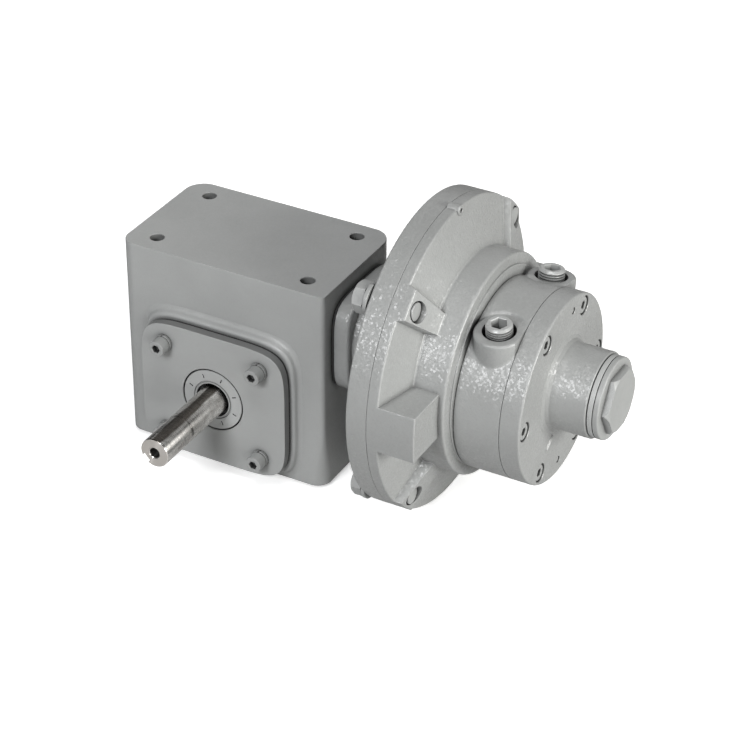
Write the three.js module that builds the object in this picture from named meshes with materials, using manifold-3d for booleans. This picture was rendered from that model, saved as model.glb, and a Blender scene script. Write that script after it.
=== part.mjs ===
// Air-driven worm gearmotor: a sliding-vane air motor bolted by its face bracket to a
// right-angle worm gear reducer with a keyed output shaft.
// Millimetres. +X runs along the motor axis towards the motor, -Y is the way the output
// shaft points and +Z is up. The origin is the middle of the housing's base face, straight
// below the output shaft's axis.

import * as THREE from 'three';
import { mergeVertices } from 'three/addons/utils/BufferGeometryUtils.js';
import Module from 'manifold-3d';

const wasm = await Module();
wasm.setup();

// ---- Driving dimensions ------------------------------------------------------------------

const GAP = 0.3; // left between two pieces that touch
const SMALL = 12; // sides of a screw shank
const COARSE = 16; // sides of a small round piece
const FINE = 36; // sides of a large round piece

const HOUSING = { halfX: 59.3, halfY: 36.9, height: 113.9 };
const CAVITY = { halfX: 50.5, halfY: 28.2, floor: 12, roof: 98 };
const CORNER = { frontLeft: 8, frontRight: 1.5, backRight: 11, backLeft: 11 };
const HOUSING_BOSS = { outputR: 22, wormR: 18, wormEndX: -44 }; // bearing bosses inside the housing
const FOOT_HOLES = { halfX: 44, halfY: 25.2, radius: 4, depth: 12 };

const INPUT_Z = 79.7; // height of the motor and worm axis
const CENTRE_DISTANCE = 38.1;
const OUTPUT_Z = INPUT_Z - CENTRE_DISTANCE;

const MODULE = 2.5;
const WHEEL_TEETH = 20;
const WORM = { pitchR: 13.1, rootR: 10.1, tipR: 15.5, halfLength: 14, halfTooth: 1.6 };
const WHEEL = { pitchR: 25, rootR: 22, tipR: 27.4, halfWidth: 7, halfTooth: 1.7, hubR: 15 };
const PRESSURE_TAN = Math.tan(THREE.MathUtils.degToRad(20));
const LEAD = Math.PI * MODULE;

const SHAFT_R = 7.94;
const SHAFT_END_Y = -101.5;
const KEY = { width: 4.76, depth: 2.4 };
const KEYWAY_DEG = 221; // where the outer keyway sits, from +X towards +Z

const COVER_PAD = { halfX: 44.8, halfZ: 40.8, power: 6, depth: 4 };
const COVER = { halfX: 42.4, halfZ: 37.8, power: 6, frontY: -46.9, thick: 4.6 };
const COVER_BORE_R = 32;
const COVER_HUB = { radius: 22, spigotY: -34, lipR: 14.5 };
const COVER_SCREW = {
  halfX: 28,
  halfZ: 26.3,
  headR: 4.4,
  headH: 6,
  shankR: 2.4,
  length: 17,
  socketR: 2.3,
  socketDepth: 3.4,
};
const COVER_WASHER = { outerR: 4.7, thick: 1.6 };
const SEAL = { outerR: 17.5, faceR: 9.4, lipR: 8.3, depth: 6.6 };
const BEARING_R = 17.5;

const INPUT_PAD = { halfY: 29.3, halfZ: 26.1, power: 5, thick: 8 };
const INPUT_SPIGOT = { radius: 19.7, startX: 52, boreEndX: 86, coreR: 22 };
const FLANGE = { backX: 96.3, seamX: 107.3, outerR: 81.5, neckR: 26, registerR: 57.4 };
const BOLT = { circleR: 74.6, shankR: 4.76, hexR: 8.25, headH: 6.1, endX: 118.5 };
const LOCK_WASHER = { outerR: 8.6, thick: 2.2 };

const BRACKET = { rimX: 113.1, bellR: 57.2, bellX: 136.2, ringR: 51.4, endX: 137.3, cavityR: 50 };
const RECESS_BELL_X = 119; // where each sloping face meets the bell
const FACE_BELL_X = 121.6;
const PAD = { rimX: 117, bellX: 125.2 };
const PAD_SPAN = [39.5, 51.5]; // degrees above the horizontal
const SIDE_BLOCK = { innerY: 54, bottomZ: -11.7, topZ: 13.1, endX: 133 };
const TOP_BOSS = { z: 80.6, radius: 2.8, endX: 114.7, holeR: 1.1 };

const BODY = { startX: 137.6, endX: 161.5, outerR: 49.05, dropZ: 3.5, chamberR: 36 };
const PORT = { x: 150.6, halfY: 29.3, bossR: 12.6, topZ: 39.6, threadR: 7.15, passageR: 5, leanDeg: 8 };
const PORT_PLUG = { radius: 6.85, topZ: 44.2, bottomZ: 30.5, socketR: 4.1, socketDepth: 6 };
const ROTOR = { startX: 137.9, endX: 161.2, radius: 32.2, slotFloorR: 18, slotHalf: 1.7 };
const VANE = { halfThick: 1.4, innerR: 18.3, outerR: 31.9 };

const END_PLATE = { startX: 161.8, faceX: 172.4, hubR: 22, hubX: 194.2, filletR: 26, filletX: 176 };
const END_BORE = { shaftR: 9.5, bearingR: 16 };
const END_SCREW = {
  circleR: 42.5,
  headR: 4.4,
  recessR: 5,
  recessDepth: 5.6,
  shankR: 2.5,
  socketR: 2.2,
  socketDepth: 2.5,
  endX: 158.6,
};
const DOWEL = { circleR: 41.5, radius: 1.6, startX: 158.6, angles: [101, -90] };
const CAP = { gasketX: 194.5, flangeX: 197.3, hexX: 200.2, endX: 204, flangeR: 21, hexR: 17 };

const OIL_PLUG = { x: -38, fillZ: 88, drainZ: 22, threadR: 5.6, headR: 8, headH: 5 };

// ---- Looks -------------------------------------------------------------------------------

const LOOKS = {
  greyPaint: { color: 0xa7aaa8, roughness: 0.55, metalness: 0.25 },
  steel: { color: 0xb9b6b0, roughness: 0.28, metalness: 1 },
  plainSteel: { color: 0x8f8f8c, roughness: 0.45, metalness: 0.9 },
  zincSteel: { color: 0xb4b8ba, roughness: 0.35, metalness: 0.9 },
  bronze: { color: 0xa9793f, roughness: 0.4, metalness: 0.9 },
  rubber: { color: 0x2b2b2b, roughness: 0.8, metalness: 0 },
  gasket: { color: 0x4b4640, roughness: 0.9, metalness: 0 },
  composite: { color: 0x5a4632, roughness: 0.8, metalness: 0 },
};

const model = new THREE.Group();
const reducerGroup = new THREE.Group();
const outputAxis = new THREE.Group();
const inputAxis = new THREE.Group();
outputAxis.position.z = OUTPUT_Z;
inputAxis.position.z = INPUT_Z;
model.add(reducerGroup, outputAxis, inputAxis);

// ---- Geometry helpers --------------------------------------------------------------------

const AXES = {
  x: new THREE.Vector3(1, 0, 0),
  y: new THREE.Vector3(0, 1, 0),
  z: new THREE.Vector3(0, 0, 1),
};

// A closed three.js geometry as a solid with its faces pointing out.
function solid(geometry) {
  const bare = geometry.clone();
  bare.deleteAttribute('normal');
  bare.deleteAttribute('uv');
  const welded = mergeVertices(bare, 1e-4);
  const points = welded.attributes.position.array;
  const index = welded.index.array;
  const corner = (i) => new THREE.Vector3().fromArray(points, 3 * i);
  const faces = [];
  let volume = 0;
  for (let i = 0; i < index.length; i += 3) {
    const [a, b, c] = index.slice(i, i + 3);
    if (a !== b && b !== c && c !== a) {
      faces.push([a, b, c]);
      volume += corner(a).dot(corner(b).cross(corner(c)));
    }
  }
  const outward = faces.map(([a, b, c]) => (volume < 0 ? [a, c, b] : [a, b, c]));
  const mesh = new wasm.Mesh({
    numProp: 3,
    vertProperties: new Float32Array(points),
    triVerts: new Uint32Array(outward.flat()),
  });
  return new wasm.Manifold(mesh);
}

// Adds a finished solid to a group as a named mesh.
function addPart(group, name, shape, look) {
  const { vertProperties, triVerts } = shape.getMesh();
  const geometry = new THREE.BufferGeometry();
  geometry.setAttribute('position', new THREE.BufferAttribute(vertProperties, 3));
  geometry.setIndex(new THREE.BufferAttribute(triVerts, 1));
  geometry.computeVertexNormals();
  const mesh = new THREE.Mesh(geometry, new THREE.MeshStandardMaterial(LOOKS[look]));
  mesh.name = name;
  group.add(mesh);
}

// Moves a geometry modelled about the local axis to a centre in the plane across that axis.
function shift(geometry, axis, [u, v]) {
  const offset = { x: [0, u, v], y: [u, 0, v], z: [u, v, 0] }[axis];
  return geometry.translate(...offset);
}

// A profile of [along the axis, radius] points turned about x, y or z. lean tips a piece turned
// about z towards -Y, round its centre at the height pivot.
function turned(axis, profile, { sides = COARSE, centre = [0, 0], spin = 0, lean = 0, pivot = 0 } = {}) {
  const outline = profile.map(([along, radius]) => new THREE.Vector2(radius, along));
  const onAxis = profile[0][1] === 0 && profile[profile.length - 1][1] === 0;
  if (!onAxis) {
    outline.push(outline[0].clone());
  }
  const geometry = new THREE.LatheGeometry(outline, sides);
  geometry.rotateY(THREE.MathUtils.degToRad(spin));
  if (axis === 'x') {
    geometry.rotateZ(-Math.PI / 2);
  }
  if (axis === 'z') {
    geometry.rotateX(Math.PI / 2);
  }
  geometry.translate(0, 0, -pivot).rotateX(THREE.MathUtils.degToRad(lean)).translate(0, 0, pivot);
  return solid(shift(geometry, axis, centre));
}

function rod(axis, radius, from, to, options) {
  return turned(axis, [[from, 0], [from, radius], [to, radius], [to, 0]], options);
}

function ring(axis, innerR, outerR, from, to, options) {
  return turned(axis, [[from, innerR], [from, outerR], [to, outerR], [to, innerR]], options);
}

// An outline extruded along an axis. Its points are (y, z) for x, (x, z) for y, (x, y) for z.
function prism(axis, outline, from, to) {
  const shape = new THREE.Shape(outline.map(([u, v]) => new THREE.Vector2(u, v)));
  const geometry = new THREE.ExtrudeGeometry(shape, { depth: to - from, bevelEnabled: false });
  const basis = new THREE.Matrix4();
  if (axis === 'x') {
    geometry.applyMatrix4(basis.makeBasis(AXES.y, AXES.z, AXES.x)).translate(from, 0, 0);
  }
  if (axis === 'y') {
    geometry.applyMatrix4(basis.makeBasis(AXES.x, AXES.z, AXES.y.clone().negate())).translate(0, to, 0);
  }
  if (axis === 'z') {
    geometry.translate(0, 0, from);
  }
  return solid(geometry);
}

function block([x0, x1], [y0, y1], [z0, z1]) {
  const geometry = new THREE.BoxGeometry(x1 - x0, y1 - y0, z1 - z0);
  return solid(geometry.translate((x0 + x1) / 2, (y0 + y1) / 2, (z0 + z1) / 2));
}

// A square outline with bulging sides and round corners.
function bulgedSquare(halfU, halfV, power, [u, v] = [0, 0], count = 40) {
  const bend = (value) => Math.sign(value) * Math.abs(value) ** (2 / power);
  return Array.from({ length: count }, (_, i) => {
    const turn = ((i + 0.5) / count) * 2 * Math.PI;
    return [u + halfU * bend(Math.cos(turn)), v + halfV * bend(Math.sin(turn))];
  });
}

// A wedge-shaped prism along x between two angles, counted from -Y towards +Z.
function sector(fromDeg, toDeg, startX, endX) {
  const reach = 140;
  const outline = [[0, 0]];
  for (const part of [0, 0.5, 1]) {
    const angle = THREE.MathUtils.degToRad(fromDeg + part * (toDeg - fromDeg));
    outline.push([-reach * Math.cos(angle), reach * Math.sin(angle)]);
  }
  return prism('x', outline, startX, endX);
}

// The (y, z) point at an angle counted from -Y towards +Z.
function around(radius, degrees, dropZ = 0) {
  const angle = THREE.MathUtils.degToRad(degrees);
  return [-radius * Math.cos(angle), radius * Math.sin(angle) - dropZ];
}

// A section with radius(angle) repeated along an axis while it turns: a worm or helical gear.
function twistedBar(axis, section, from, to, turnPerMm, layers) {
  const count = section.length;
  const points = [];
  const faces = [];
  for (let layer = 0; layer <= layers; layer += 1) {
    const along = from + ((to - from) * layer) / layers;
    for (const [radius, angle] of section) {
      const turn = angle + along * turnPerMm;
      const u = radius * Math.cos(turn);
      const v = radius * Math.sin(turn);
      points.push(...(axis === 'x' ? [along, u, v] : [v, along, u]));
    }
  }
  for (let layer = 0; layer < layers; layer += 1) {
    for (let i = 0; i < count; i += 1) {
      const a = layer * count + i;
      const b = layer * count + ((i + 1) % count);
      faces.push(a, b, a + count, b, b + count, a + count);
    }
  }
  const flat = section.map(([radius, angle]) => {
    return new THREE.Vector2(radius * Math.cos(angle), radius * Math.sin(angle));
  });
  const last = layers * count;
  for (const [a, b, c] of THREE.ShapeUtils.triangulateShape(flat, [])) {
    faces.push(a, c, b, last + a, last + b, last + c);
  }
  const geometry = new THREE.BufferGeometry();
  geometry.setAttribute('position', new THREE.Float32BufferAttribute(points, 3));
  geometry.setIndex(faces);
  return solid(geometry);
}

function join(...shapes) {
  return shapes.reduce((whole, shape) => whole.add(shape));
}

function cut(shape, ...tools) {
  return tools.reduce((rest, tool) => rest.subtract(tool), shape);
}

const CORNERS = [[-1, 1], [1, 1], [1, -1], [-1, -1]];
const BOLT_ANGLES = [45, 135, 225, 315];

// ---- Reducer housing ---------------------------------------------------------------------

function housingOutline() {
  const { halfX, halfY } = HOUSING;
  const corners = [
    [halfX, halfY, CORNER.backRight, 0],
    [-halfX, halfY, CORNER.backLeft, 90],
    [-halfX, -halfY, CORNER.frontLeft, 180],
    [halfX, -halfY, CORNER.frontRight, 270],
  ];
  const outline = [];
  for (const [x, y, radius, startDeg] of corners) {
    const middle = [x - Math.sign(x) * radius, y - Math.sign(y) * radius];
    for (let step = 0; step <= 5; step += 1) {
      const angle = THREE.MathUtils.degToRad(startDeg + 18 * step);
      outline.push([middle[0] + radius * Math.cos(angle), middle[1] + radius * Math.sin(angle)]);
    }
  }
  return outline;
}

const wormBearing = { innerR: 7.8, outerR: 14.7, fromX: -56, toX: -46 };
const rearBearing = { innerR: 8.24, outerR: BEARING_R - GAP, fromY: 18.6, toY: 29.6 };

function gearHousing() {
  const { halfX, halfY, height } = HOUSING;
  const outputCentre = { centre: [0, OUTPUT_Z], sides: FINE };
  const inputCentre = { centre: [0, INPUT_Z] };
  const pad = bulgedSquare(COVER_PAD.halfX, COVER_PAD.halfZ, COVER_PAD.power, [0, OUTPUT_Z]);
  let shape = join(
    prism('z', housingOutline(), 0, height),
    prism('y', pad, -halfY - COVER_PAD.depth, -halfY + 2),
  );
  shape = cut(
    shape,
    block([-CAVITY.halfX, CAVITY.halfX], [-CAVITY.halfY, CAVITY.halfY], [CAVITY.floor, CAVITY.roof]),
    rod('y', COVER_BORE_R, -halfY - 10, -CAVITY.halfY + 1, outputCentre),
    rod('x', 20, CAVITY.halfX - 1, halfX + 1, inputCentre),
  );
  const rearBoss = rod('y', HOUSING_BOSS.outputR, rearBearing.fromY - 2, CAVITY.halfY + 1, {
    centre: [0, OUTPUT_Z],
  });
  const leftBoss = rod('x', HOUSING_BOSS.wormR, -CAVITY.halfX - 1, HOUSING_BOSS.wormEndX, inputCentre);
  shape = cut(
    join(shape, rearBoss, leftBoss),
    rod('y', BEARING_R, rearBearing.fromY - 3, rearBearing.toY + GAP, { centre: [0, OUTPUT_Z] }),
    rod('x', wormBearing.outerR + GAP, wormBearing.fromX - GAP, HOUSING_BOSS.wormEndX + 1, inputCentre),
  );
  for (const [signX, signZ] of CORNERS) {
    const centre = [signX * COVER_SCREW.halfX, OUTPUT_Z + signZ * COVER_SCREW.halfZ];
    const holeR = COVER_SCREW.shankR + GAP;
    const end = COVER.frontY - COVER_WASHER.thick + COVER_SCREW.length + 2 * GAP;
    shape = cut(shape, rod('y', holeR, -halfY - 8, end, { centre, sides: SMALL }));
  }
  for (const [signX, signY] of CORNERS) {
    const centre = [signX * FOOT_HOLES.halfX, signY * FOOT_HOLES.halfY];
    const { radius, depth } = FOOT_HOLES;
    shape = cut(shape, rod('z', radius, height - depth, height + 1, { centre, sides: 16 }));
    shape = cut(shape, rod('z', radius, -1, depth - 3, { centre, sides: 16 }));
  }
  for (const z of [OIL_PLUG.fillZ, OIL_PLUG.drainZ]) {
    const hole = { centre: [OIL_PLUG.x, z], sides: 16 };
    shape = cut(shape, rod('y', OIL_PLUG.threadR + GAP, CAVITY.halfY - 1, halfY + 1, hole));
  }
  return shape;
}

addPart(reducerGroup, 'gear_housing', gearHousing(), 'greyPaint');

[['fill_plug', OIL_PLUG.fillZ], ['drain_plug', OIL_PLUG.drainZ]].forEach(([name, z]) => {
  const seatY = HOUSING.halfY + GAP;
  const centre = [OIL_PLUG.x, z];
  const head = rod('y', OIL_PLUG.headR, seatY, seatY + OIL_PLUG.headH, { centre, sides: 6 });
  const thread = rod('y', OIL_PLUG.threadR, seatY - 8, seatY + 1, { centre, sides: 16 });
  addPart(reducerGroup, name, join(head, thread), 'plainSteel');
});

// ---- Output side: cover, gasket, seal, screws and bearings ---------------------------------

const gasketY = [-HOUSING.halfY - COVER_PAD.depth - GAP - 0.8, -HOUSING.halfY - COVER_PAD.depth - GAP];
const frontBearing = { fromY: -39.4, toY: -28.4 };
const screwCentres = CORNERS.map(([x, z]) => [x * COVER_SCREW.halfX, z * COVER_SCREW.halfZ]);

function screwHoles(shape, radius) {
  const tools = screwCentres.map((centre) => rod('y', radius, -60, -20, { centre, sides: SMALL }));
  return cut(shape, ...tools);
}

function outputCover() {
  const backY = COVER.frontY + COVER.thick;
  const plate = prism('y', bulgedSquare(COVER.halfX, COVER.halfZ, COVER.power), COVER.frontY, backY);
  const spigot = rod('y', COVER_BORE_R - GAP, backY - 1, COVER_HUB.spigotY, { sides: FINE });
  const hub = rod('y', COVER_HUB.radius, COVER_HUB.spigotY - 2, frontBearing.toY + 2, { sides: FINE });
  const bore = rod('y', BEARING_R, COVER.frontY - 1, frontBearing.toY + GAP, { sides: FINE });
  const lip = rod('y', COVER_HUB.lipR, frontBearing.toY, frontBearing.toY + 3);
  return screwHoles(cut(join(plate, spigot, hub), bore, lip), COVER_SCREW.shankR + GAP);
}

function coverGasket() {
  const sheet = prism('y', bulgedSquare(COVER.halfX, COVER.halfZ, COVER.power), ...gasketY);
  const bore = rod('y', COVER_BORE_R, gasketY[0] - 1, gasketY[1] + 1, { sides: FINE });
  return screwHoles(cut(sheet, bore), COVER_SCREW.shankR + GAP);
}

// A shaft seal: a ring with a lip that is narrower than its open face.
function shaftSeal(axis, face, back, { outerR, faceR, lipR }) {
  const lipStart = face + 0.55 * (back - face);
  const profile = [[face, faceR], [face, outerR], [back, outerR], [back, lipR], [lipStart, lipR]];
  return turned(axis, profile, { sides: FINE });
}

addPart(outputAxis, 'output_cover', outputCover(), 'greyPaint');
addPart(outputAxis, 'cover_gasket', coverGasket(), 'gasket');

const sealFaceY = COVER.frontY + GAP;
const outputSealSize = { outerR: SEAL.outerR - GAP, faceR: SEAL.faceR, lipR: SEAL.lipR };
const outputSeal = shaftSeal('y', sealFaceY, sealFaceY + SEAL.depth, outputSealSize);
addPart(outputAxis, 'output_seal', outputSeal, 'rubber');

const frontRace = ring('y', SHAFT_R + GAP, BEARING_R - GAP, frontBearing.fromY, frontBearing.toY);
const rearRace = ring('y', rearBearing.innerR, rearBearing.outerR, rearBearing.fromY, rearBearing.toY);
addPart(outputAxis, 'output_bearing_front', frontRace, 'steel');
addPart(outputAxis, 'output_bearing_rear', rearRace, 'steel');

screwCentres.forEach((centre, i) => {
  const seatY = COVER.frontY - GAP;
  const washerY = seatY - COVER_WASHER.thick;
  const headY = washerY - GAP;
  const head = rod('y', COVER_SCREW.headR, headY - COVER_SCREW.headH, headY, { centre });
  const shank = rod('y', COVER_SCREW.shankR, headY - 1, headY + COVER_SCREW.length, { centre, sides: SMALL });
  const tipY = headY - COVER_SCREW.headH;
  const { socketR, socketDepth } = COVER_SCREW;
  const socket = rod('y', socketR, tipY - 1, tipY + socketDepth, { centre, sides: 6 });
  addPart(outputAxis, `cover_screw_${i + 1}`, cut(join(head, shank), socket), 'zincSteel');
  const washer = ring('y', COVER_SCREW.shankR + GAP, COVER_WASHER.outerR, washerY, seatY, { centre });
  addPart(outputAxis, `cover_washer_${i + 1}`, washer, 'zincSteel');
});

// ---- Output shaft and worm wheel -----------------------------------------------------------

// A rectangular slot along y on the rim of a shaft, at an angle from +X towards +Z.
function keySlot(halfWidth, innerR, outerR, fromY, toY, degrees) {
  const angle = THREE.MathUtils.degToRad(degrees);
  const across = [-Math.sin(angle), Math.cos(angle)];
  const out = [Math.cos(angle), Math.sin(angle)];
  const outline = [[innerR, -1], [outerR, -1], [outerR, 1], [innerR, 1]].map(([radius, side]) => {
    return [0, 1].map((n) => radius * out[n] + side * halfWidth * across[n]);
  });
  return prism('y', outline, fromY, toY);
}

const wheelSeat = { radius: 9.85, fromY: -20, toY: 16 };
const wheelKey = { degrees: 90, floorR: 7.4, topR: 12.2 };

function outputShaft() {
  const chamfer = 0.8;
  const profile = [
    [SHAFT_END_Y, 0],
    [SHAFT_END_Y, SHAFT_R - chamfer],
    [SHAFT_END_Y + chamfer, SHAFT_R],
    [wheelSeat.fromY, SHAFT_R],
    [wheelSeat.fromY, wheelSeat.radius],
    [wheelSeat.toY, wheelSeat.radius],
    [wheelSeat.toY, SHAFT_R],
    [rearBearing.toY, SHAFT_R],
    [rearBearing.toY, 0],
  ];
  const centreHole = turned('y', [
    [SHAFT_END_Y - 1, 0],
    [SHAFT_END_Y - 1, 3.4],
    [SHAFT_END_Y + 3, 1.6],
    [SHAFT_END_Y + 9, 1.6],
    [SHAFT_END_Y + 9, 0],
  ], { sides: 16 });
  const outerKeyway = keySlot(KEY.width / 2, SHAFT_R - KEY.depth, 12, SHAFT_END_Y - 1, -64, KEYWAY_DEG);
  const keyEnds = [-WHEEL.halfWidth, WHEEL.halfWidth];
  const innerKeyway = keySlot(KEY.width / 2, wheelKey.floorR, 12, ...keyEnds, wheelKey.degrees);
  return cut(turned('y', profile, { sides: FINE }), centreHole, outerKeyway, innerKeyway);
}

// Teeth as [radius, angle] corners, for a wheel with the given tooth count.
function wheelSection() {
  const corners = [];
  const half = (radius) => (WHEEL.halfTooth + (WHEEL.pitchR - radius) * PRESSURE_TAN) / WHEEL.pitchR;
  for (let tooth = 0; tooth < WHEEL_TEETH; tooth += 1) {
    const middle = (tooth / WHEEL_TEETH) * 2 * Math.PI;
    corners.push([WHEEL.rootR, middle - half(WHEEL.rootR)], [WHEEL.tipR, middle - half(WHEEL.tipR)]);
    corners.push([WHEEL.tipR, middle + half(WHEEL.tipR)], [WHEEL.rootR, middle + half(WHEEL.rootR)]);
  }
  return corners;
}

function wormWheel() {
  const { halfWidth } = WHEEL;
  const turnPerMm = LEAD / (2 * Math.PI * WORM.pitchR) / WHEEL.pitchR;
  const teeth = twistedBar('y', wheelSection(), -halfWidth, halfWidth, turnPerMm, 2);
  const hub = rod('y', WHEEL.hubR, -halfWidth - 5, halfWidth + 5);
  const through = [-halfWidth - 6, halfWidth + 6];
  const bore = rod('y', wheelSeat.radius + GAP, ...through);
  const slot = keySlot(KEY.width / 2, SHAFT_R, wheelKey.topR + GAP, ...through, wheelKey.degrees);
  return cut(join(teeth, hub), bore, slot);
}

addPart(outputAxis, 'output_shaft', outputShaft(), 'steel');
addPart(outputAxis, 'worm_wheel', wormWheel(), 'bronze');
const gearKey = block(
  [-KEY.width / 2 + GAP, KEY.width / 2 - GAP],
  [-WHEEL.halfWidth + GAP, WHEEL.halfWidth - GAP],
  [wheelKey.floorR + GAP, wheelKey.topR],
);
addPart(outputAxis, 'gear_key', gearKey, 'plainSteel');

// ---- Worm shaft and its bearings -----------------------------------------------------------

// One thread as [radius, angle] corners. The crest is at +Z where x is 0.
function wormSection() {
  const toAngle = (along) => Math.PI / 2 + (along / LEAD) * 2 * Math.PI;
  const rootHalf = WORM.halfTooth + (WORM.pitchR - WORM.rootR) * PRESSURE_TAN;
  const tipHalf = WORM.halfTooth + (WORM.pitchR - WORM.tipR) * PRESSURE_TAN;
  const corners = [];
  const flank = (from, to, fromR, toR, steps) => {
    for (let step = 0; step < steps; step += 1) {
      const part = step / steps;
      corners.push([fromR + (toR - fromR) * part, toAngle(from + (to - from) * part)]);
    }
  };
  flank(-rootHalf, -tipHalf, WORM.rootR, WORM.tipR, 4);
  flank(-tipHalf, tipHalf, WORM.tipR, WORM.tipR, 3);
  flank(tipHalf, rootHalf, WORM.tipR, WORM.rootR, 4);
  flank(rootHalf, LEAD - rootHalf, WORM.rootR, WORM.rootR, 4);
  return corners;
}

const inputBearing = { innerR: 8.8, fromX: 62, toX: 73 };
const inputSeal = { fromX: 76, toX: 83, outerR: BEARING_R - GAP, faceR: 13, lipR: 12.4 };
const QUILL = { outerR: 12, boreR: SHAFT_R + GAP, startX: 75, boreX: 78, endX: 101 };
const keySize = { halfWidth: KEY.width / 2, fromX: 82, toX: 99 };

function wormShaft() {
  const { halfLength } = WORM;
  const thread = twistedBar('x', wormSection(), -halfLength, halfLength, (2 * Math.PI) / LEAD, 40);
  const stem = turned('x', [
    [wormBearing.fromX, 0],
    [wormBearing.fromX, wormBearing.innerR - GAP],
    [-44, wormBearing.innerR - GAP],
    [-44, 9],
    [59, 9],
    [59, inputBearing.innerR - GAP],
    [QUILL.startX, inputBearing.innerR - GAP],
    [QUILL.startX, QUILL.outerR],
    [QUILL.endX, QUILL.outerR],
    [QUILL.endX, 0],
  ]);
  const bore = rod('x', QUILL.boreR, QUILL.boreX, QUILL.endX + 1);
  const { halfWidth, fromX } = keySize;
  const slotTop = SHAFT_R + KEY.depth + GAP;
  const slot = block([fromX - 1, QUILL.endX + 1], [-halfWidth, halfWidth], [0, slotTop]);
  return cut(join(thread, stem), bore, slot);
}

const worm1 = ring('x', wormBearing.innerR, wormBearing.outerR, wormBearing.fromX, wormBearing.toX);
const worm2 = ring('x', inputBearing.innerR, BEARING_R - GAP, inputBearing.fromX, inputBearing.toX);
addPart(inputAxis, 'worm_shaft', wormShaft(), 'plainSteel');
addPart(inputAxis, 'worm_bearing_blind', worm1, 'steel');
addPart(inputAxis, 'worm_bearing_input', worm2, 'steel');
addPart(inputAxis, 'input_seal', shaftSeal('x', inputSeal.toX, inputSeal.fromX, inputSeal), 'rubber');

// ---- Input flange and the bolts that hold the motor ------------------------------------------

const padX = [HOUSING.halfX + GAP, HOUSING.halfX + GAP + 0.9];
const flangeX = padX[1] + GAP;
const padOutline = bulgedSquare(INPUT_PAD.halfY, INPUT_PAD.halfZ, INPUT_PAD.power);

function inputFlange() {
  const register = FLANGE.seamX - 3;
  const body = join(
    prism('x', padOutline, flangeX, flangeX + INPUT_PAD.thick),
    rod('x', INPUT_SPIGOT.radius, INPUT_SPIGOT.startX, flangeX + 1),
    rod('x', FLANGE.neckR, flangeX + INPUT_PAD.thick - 1, FLANGE.backX + 1, { sides: FINE }),
    rod('x', FLANGE.outerR, FLANGE.backX, FLANGE.seamX, { sides: FINE }),
  );
  const shape = cut(
    body,
    rod('x', BEARING_R, INPUT_SPIGOT.startX - 1, INPUT_SPIGOT.boreEndX, { sides: FINE }),
    rod('x', INPUT_SPIGOT.coreR, INPUT_SPIGOT.boreEndX - 1, FLANGE.seamX + 1),
    rod('x', FLANGE.registerR, register, FLANGE.seamX + 1, { sides: FINE }),
  );
  const holes = BOLT_ANGLES.map((degrees) => {
    const centre = around(BOLT.circleR, degrees);
    return rod('x', BOLT.shankR + GAP, FLANGE.backX - 1, FLANGE.seamX + 1, { centre, sides: 16 });
  });
  return cut(shape, ...holes);
}

const padGasket = cut(prism('x', padOutline, ...padX), rod('x', 20, padX[0] - 1, padX[1] + 1));
addPart(inputAxis, 'flange_gasket', padGasket, 'gasket');
addPart(inputAxis, 'input_flange', inputFlange(), 'greyPaint');

BOLT_ANGLES.forEach((degrees, i) => {
  const centre = around(BOLT.circleR, degrees);
  const seatX = FLANGE.backX - GAP;
  const headX = seatX - LOCK_WASHER.thick - GAP;
  const head = rod('x', BOLT.hexR, headX - BOLT.headH, headX, { centre, sides: 6 });
  const shank = rod('x', BOLT.shankR, headX - 1, BOLT.endX, { centre, sides: 16 });
  const washer = ring('x', BOLT.shankR + GAP, LOCK_WASHER.outerR, seatX - LOCK_WASHER.thick, seatX, {
    centre,
    sides: 16,
  });
  addPart(inputAxis, `motor_bolt_${i + 1}`, join(head, shank), 'zincSteel');
  addPart(inputAxis, `lock_washer_${i + 1}`, washer, 'zincSteel');
});

// ---- Motor bracket -------------------------------------------------------------------------

const driveBearing = { innerR: SHAFT_R + GAP, outerR: 16, fromX: 109, toX: 118 };
const motorSeal = { fromX: 119.5, toX: 125, outerR: 13, faceR: 9.4, lipR: 8.3 };

// A ring of the bracket's face that slopes from the rim up to the bell.
function slopingFace(rimX, bellX) {
  const innerR = BRACKET.cavityR + 0.6;
  return turned('x', [
    [109, innerR],
    [109, FLANGE.outerR],
    [rimX, FLANGE.outerR],
    [bellX, BRACKET.bellR],
    [bellX, innerR],
  ], { sides: FINE });
}

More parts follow.
